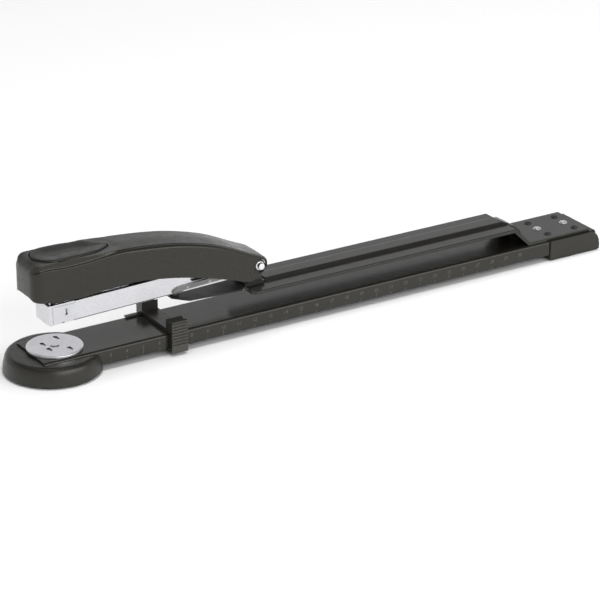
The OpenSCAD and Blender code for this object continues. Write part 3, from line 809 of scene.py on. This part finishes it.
def magazine_inside(obj):
    """The unlit, unplated inner faces, seen through the slots."""
    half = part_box("magazine_channel")[1].y

    def inside(c, n):
        faces_in = n.y * c.y < 0 or abs(c.y) < half - 0.0012
        return abs(c.y) < half - 0.0002 and faces_in and abs(n.x) < 0.5 and n.z > -0.5
    darken(obj, inside, INSIDE)


def magazine_seams():
    """Painted shadow: thin dark strips in the joint between the folded sides and the rail,
    along both lower edges.
    """
    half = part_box("magazine_channel")[1].y / MM
    verts, faces = [], []
    for s in (-1, 1):
        for u0, u1 in ((-120.2, -118.6), (-113, -46)):
            first = len(verts)
            for y in (s * (half - 0.05), s * (half + 0.012)):
                verts += [along_mag(u, y, w) for u, w in
                          ((u0, -5.5), (u1, -5.5), (u1, -5.12), (u0, -5.12))]
            for f in BOX_FACES:
                faces.append(tuple(first + k for k in f))
    piece("magazine_seams", mesh_of("magazine_seams", verts, faces), PAINTED_SHADOW, "magazine",
          ())


def scale_marks():
    """Printed centimetre scale on both flanges, counted from the staple line."""
    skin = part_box("base_channel")[1].y / MM
    verts, faces = [], []
    for s in (-1, 1):
        for k in CENTIMETRES:
            long = k % 5 == 0
            mark_box(verts, faces, STAPLE_LINE + 10 * k, 4.3, 7.0 if long else 5.6, 0.14,
                     s * (skin - 0.02), s * (skin + 0.015))
    piece("scale_marks", mesh_of("scale_marks", verts, faces), MARKS, "base", ())
    for k in CENTIMETRES:
        scale_number(str(k), STAPLE_LINE + 10 * k, skin)


def scale_number(text, x, skin):
    """One number of the scale, on the near flange."""
    curve = bpy.data.curves.new("number", "FONT")
    curve.body, curve.size, curve.align_x = text, 2.9 * MM, "CENTER"
    curve.extrude = 0.012 * MM
    obj = bpy.data.objects.new("number", curve)
    bpy.context.scene.collection.objects.link(obj)
    bpy.context.view_layer.update()
    mesh = bpy.data.meshes.new_from_object(
        obj.evaluated_get(bpy.context.evaluated_depsgraph_get()))
    bpy.data.objects.remove(obj)
    place = Matrix.Translation(at(x, -skin - 0.005, 7.6)) @ Matrix.Rotation(
        math.pi / 2, 4, "X")
    mesh.transform(place)
    mesh.name = "scale_number_" + text
    return piece("scale_number_" + text, mesh, MARKS, "base", ())


# ---------------------------------------------------------------- plain nodes
# node, width of its rounded edges (mm), material, body, slot
EDGED = [
    ("base_channel", 0.2, BASE_PAINT, "base", "base_paint"),
    ("front_foot", 0.3, FOOT, "base", "foot_plastic"),
    ("rear_foot", 0.35, FOOT, "base", "foot_plastic"),
    ("arm_plate", 0.3, ARM_PAINT, "base", "arm_paint"),
    ("arm_rivets", 0.25, RIVET, "base", "nickel"),
    ("arm_screws", 0.12, SCREW, "base", "leaf_steel"),
    ("hinge_bracket", 0.15, ARM_PAINT, "base", "arm_paint"),
    ("anvil_plate", 0.12, DISC, "anvil", "nickel"),
    ("anvil_rivet", 0.15, DISC, "anvil", "steel"),
    ("paper_stop", 0.18, STOP, "stop", "foot_plastic"),
    ("magazine_channel", 0.12, NICKEL, "magazine", "nickel"),
    ("magazine_head", 0.2, NICKEL, "magazine", "nickel"),
    ("magazine_carrier", 0.15, CARRIER, "magazine", "zinc"),
    ("follower", 0.2, BLACK, "follower", "foot_plastic"),
    ("handle_frame", 0.12, FRAME, "handle", "zinc"),
    ("driver_blade", 0.1, STEEL, "handle", "steel"),
]
KEPT = {
    "front_foot_pad": RUBBER, "rear_foot_pad": RUBBER, "bracket_rivets": SCREW,
    "pin_clips": SCREW, "anvil_washer": WIRE, "carrier_rivets": ZINC, "lift_pad": RUBBER,
    "staple_rail": STEEL, "staple_strip": STAPLES, "spring_rod": STEEL,
    "driver_rivets": STEEL, "cover_screws": STEEL,
}


def plain_nodes():
    for node, width, mat, body, slot in EDGED:
        obj = refined(node, width, mat, body)
        if node == "anvil_plate":
            anvil_pockets(obj)
        if node == "magazine_channel":
            magazine_inside(obj)
    for node, mat in KEPT.items():
        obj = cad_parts[node]
        obj.data.materials.clear()
        obj.data.materials.append(mat)


# ---------------------------------------------------------------- stage
# both points in mm from the front edge of the base channel
CAMERA_AT = (-586.30, -1223.51, 620.27)
LOOK_AT = (168.915, 0, 5.373)
LENS = 166.4


def camera():
    data = bpy.data.cameras.new("camera")
    data.lens, data.sensor_width = LENS, 36
    data.clip_start, data.clip_end = 0.01, 50
    obj = bpy.data.objects.new("camera", data)
    bpy.context.scene.collection.objects.link(obj)
    obj.location = at(*CAMERA_AT)
    obj.rotation_mode = "QUATERNION"
    obj.rotation_quaternion = (at(*LOOK_AT) - obj.location).to_track_quat("-Z", "Y")
    bpy.context.scene.camera = obj


def area_light(name, place, size, energy):
    """A soft light of the given length along X and width, aimed at the middle."""
    data = bpy.data.lights.new(name, "AREA")
    data.shape, data.energy = "RECTANGLE", energy
    data.size, data.size_y = size
    obj = bpy.data.objects.new(name, data)
    bpy.context.scene.collection.objects.link(obj)
    obj.location = Vector(place)
    obj.rotation_mode = "QUATERNION"
    obj.rotation_quaternion = Vector((0, -place[1], -place[2])).to_track_quat("-Z", "Y")
    return obj


# height on the sky dome from 0 to 1, brightness
SKY = [(0.0, 0.68), (0.5, 0.7), (0.64, 0.15), (0.86, 0.12), (1.0, 0.12)]


def sky(tree):
    """White surroundings up to a good way above the horizon, dark overhead."""
    back = tree.nodes["Background"]
    coords = tree.nodes.new("ShaderNodeTexCoord")
    split = tree.nodes.new("ShaderNodeSeparateXYZ")
    shades = tree.nodes.new("ShaderNodeValToRGB")
    tree.links.new(coords.outputs["Generated"], split.inputs[0])
    tree.links.new(split.outputs["Z"], shades.inputs[0])
    tree.links.new(shades.outputs[0], back.inputs[0])
    steps = shades.color_ramp.elements
    for k, (height, level) in enumerate(SKY):
        step = steps.new(height) if k else steps[0]
        step.position, step.color = height, (level, level, level * 1.02, 1)
    steps.remove(steps[len(steps) - 1])


def stage():
    mesh = mesh_of("floor", [(-6, -6, 0), (6, -6, 0), (6, 6, 0), (-6, 6, 0)], [(0, 1, 2, 3)])
    floor = bpy.data.objects.new("floor", mesh)
    bpy.context.scene.collection.objects.link(floor)
    g = Graph("floor_paper")
    base = g.mix(g.noise(3, 2), (0.90, 0.90, 0.90), (0.92, 0.92, 0.92))
    mesh.materials.append(g.done(base, g.spread(g.noise(5, 2), 0, 1, 0.8, 0.9),
                                 g.bump(g.noise(400, 2), 0.02, 0.0001)))
    world = bpy.data.worlds.new("studio")
    world.use_nodes = True
    sky(world.node_tree)
    bpy.context.scene.world = world
    bpy.context.scene.view_settings.view_transform = "Standard"
    area_light("front_card", (0.6, -1.9, 1.0), (2.8, 1.2), 27)
    top = area_light("overhead_softbox", (0.1, -0.1, 1.8), (1.4, 1.4), 24)
    top.visible_glossy = False


plain_nodes()
handle_cover()
thumb_pad()
hinge_pin()
follower_spring()
return_spring()
lift_spring()
magazine_seams()
scale_marks()
camera()
stage()
